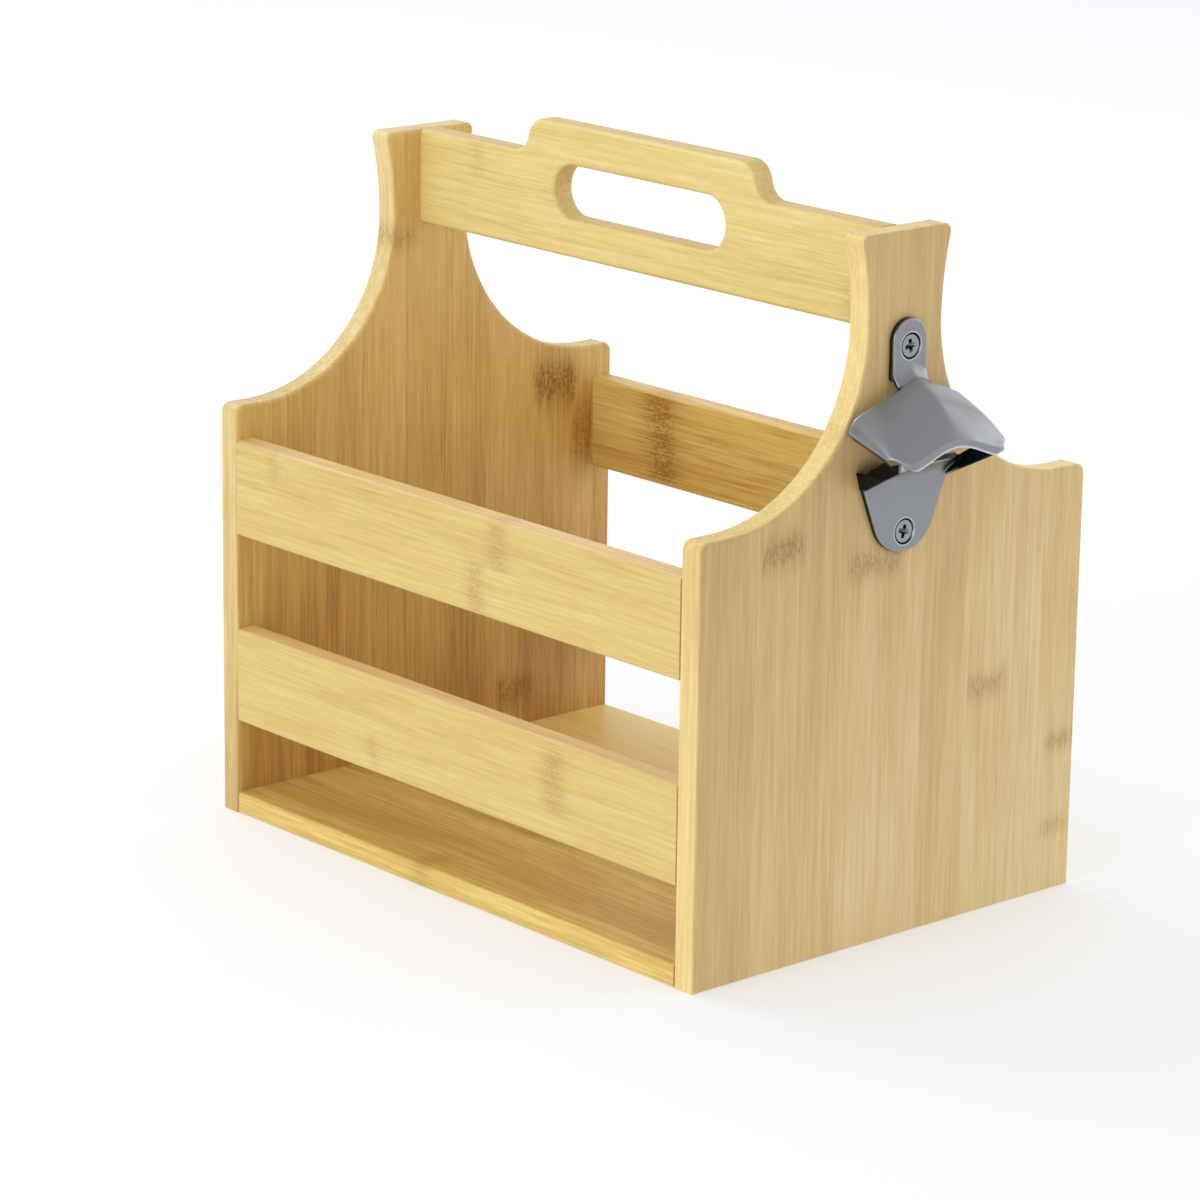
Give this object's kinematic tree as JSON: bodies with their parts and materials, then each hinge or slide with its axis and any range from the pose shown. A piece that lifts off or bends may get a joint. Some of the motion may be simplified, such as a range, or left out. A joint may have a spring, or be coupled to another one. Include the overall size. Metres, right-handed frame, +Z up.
{
  "type": "bottle caddy",
  "caption": "Wooden bottle carrier with shaped end panels, side slats, a central handle board with a finger slot, and a cast cap opener screwed to one end.",
  "frame": {"origin": "centre of the underside, midway between the two end panels and midway from front to back", "axes": "+X along the carrier to the end with the opener, -Y to the front slats, +Z up"},
  "size_m": [0.3135, 0.199, 0.286],
  "materials": {
    "bamboo": "clear-sealed solid bamboo board, satin",
    "cast_zinc": "die-cast zinc, tumbled and nickel plated, satin grey",
    "screw_steel": "zinc-plated steel",
    "dowel_wood": "plain beech"
  },
  "bodies": {
    "root": {"end_panel_left": "bamboo", "end_panel_right": "bamboo", "front_upper_slat": "bamboo", "front_lower_slat": "bamboo", "back_upper_slat": "bamboo", "back_lower_slat": "bamboo", "base_board": "bamboo", "handle_board": "bamboo", "bottle_opener": "cast_zinc", "opener_screw_upper": "screw_steel", "opener_screw_lower": "screw_steel", "dowels_front_upper_left": "dowel_wood", "dowels_front_upper_right": "dowel_wood", "dowels_front_lower_left": "dowel_wood", "dowels_front_lower_right": "dowel_wood", "dowels_back_upper_left": "dowel_wood", "dowels_back_upper_right": "dowel_wood", "dowels_back_lower_left": "dowel_wood", "dowels_back_lower_right": "dowel_wood", "dowels_base_left": "dowel_wood", "dowels_base_right": "dowel_wood", "dowels_handle_left": "dowel_wood", "dowels_handle_right": "dowel_wood"}
  },
  "joints": []
}
